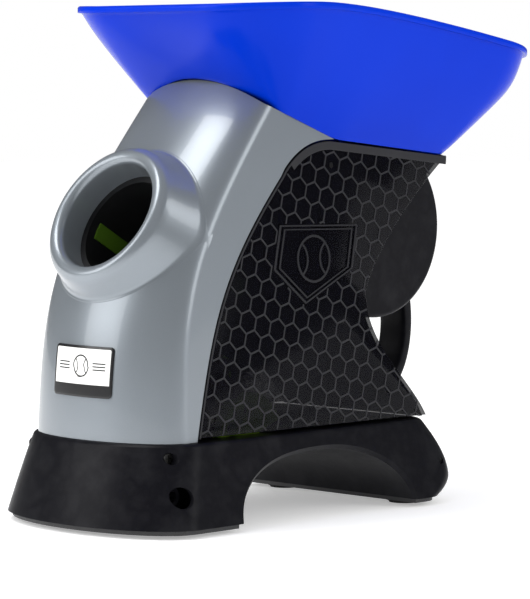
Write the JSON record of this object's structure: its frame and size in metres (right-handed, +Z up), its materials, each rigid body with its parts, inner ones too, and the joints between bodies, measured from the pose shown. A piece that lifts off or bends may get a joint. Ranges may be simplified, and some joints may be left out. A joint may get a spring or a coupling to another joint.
{
  "type": "tennis ball machine",
  "caption": "Pet-sized tennis ball machine: silver leaning body with an upturned nozzle, blue hopper, smoked hexagon side panels, black arched base and a round rear drum with a carry handle.",
  "frame": {"origin": "middle of the overall footprint, on the floor under the rubber feet", "axes": "+Z up; -Y is the front, where the nozzle points; +X is the side with the power inlet, which is on the left for someone standing behind the machine and looking the way it throws"},
  "size_m": [0.222, 0.3918, 0.362],
  "materials": {
    "black_moulding": "satin",
    "shell_silver": "gloss",
    "hopper_blue": "gloss",
    "smoked_panel": "gloss",
    "crest_dark": "gloss",
    "label_white": "gloss",
    "barrel_black": "satin",
    "lime_plastic": "satin",
    "drum_charcoal": "matte",
    "foot_rubber": "matte",
    "plate_grey": "satin",
    "bare_steel": "brushed",
    "brass_parts": "polished",
    "gear_white": "satin",
    "screw_black": "satin",
    "cell_jacket": "gloss",
    "board_green": "gloss",
    "rocker_red": "gloss"
  },
  "bodies": {
    "root": {"base_shell": "black_moulding", "bottom_plate_front": "plate_grey", "bottom_plate_rear": "plate_grey", "rubber_feet": "foot_rubber", "front_shell": "shell_silver", "nozzle_collar": "shell_silver", "launch_barrel": "barrel_black", "guide_rails": "lime_plastic", "feed_chute": "barrel_black", "side_panel_right": "smoked_panel", "side_panel_left": "smoked_panel", "panel_crest_right": "crest_dark", "panel_crest_left": "crest_dark", "front_label": "label_white", "rear_wall": "black_moulding", "top_rails": "black_moulding", "drum_shell": "drum_charcoal", "drum_side_disc": "drum_charcoal", "battery_tray": "barrel_black", "battery_cells": "cell_jacket", "battery_contacts": "bare_steel", "door_pin": "bare_steel", "carry_handle": "black_moulding", "gear_plate_right": "plate_grey", "gear_plate_left": "plate_grey", "shaft_bushings": "brass_parts", "motor": "bare_steel", "arm_spring": "bare_steel", "control_board": "board_green", "power_jack": "black_moulding", "switch_frame": "black_moulding", "sensor_switch": "black_moulding", "panel_screws": "screw_black", "base_screws": "screw_black", "frame_screws": "bare_steel"},
    "hopper": {"hopper": "hopper_blue"},
    "launch_arm": {"launch_arm": "lime_plastic"},
    "motor_pinion": {"motor_pinion": "brass_parts"},
    "winding_gear": {"winding_gear": "gear_white"},
    "sensor_lever": {"sensor_lever": "bare_steel"},
    "power_rocker": {"power_rocker": "rocker_red"},
    "battery_door": {"battery_door": "drum_charcoal"}
  },
  "joints": [
    {"name": "hopper_lift", "type": "slide", "parent": "root", "child": "hopper", "axis": [0, 0.2164, 0.9763], "range_m": [0, 0.09]},
    {"name": "arm_swing", "type": "hinge", "parent": "root", "child": "launch_arm", "pos_m": [0, -0.06715, 0.06], "axis": [1, 0, 0], "range_deg": [-30, 12]},
    {"name": "motor_spin", "type": "hinge", "parent": "root", "child": "motor_pinion", "pos_m": [0.046, -0.10774, 0.08339], "axis": [1, 0, 0], "continuous": true},
    {"name": "winding_spin", "type": "hinge", "parent": "root", "child": "winding_gear", "pos_m": [0.046, -0.08236, 0.09263], "axis": [1, 0, 0], "continuous": true},
    {"name": "lever_press", "type": "hinge", "parent": "root", "child": "sensor_lever", "pos_m": [0, -0.07656, 0.12892], "axis": [-1, 0, 0], "range_deg": [0, 4]},
    {"name": "rocker_tilt", "type": "hinge", "parent": "root", "child": "power_rocker", "pos_m": [-0.08, -0.12915, 0.027], "axis": [0, 0, 1], "range_deg": [-8, 8]},
    {"name": "battery_door_swing", "type": "hinge", "parent": "root", "child": "battery_door", "pos_m": [0, 0.15211, 0.20227], "axis": [-1, 0, 0], "range_deg": [0, 85]}
  ],
  "couplings": [
    {"joint": "winding_spin", "follows": "motor_spin", "ratio": -0.25}
  ]
}
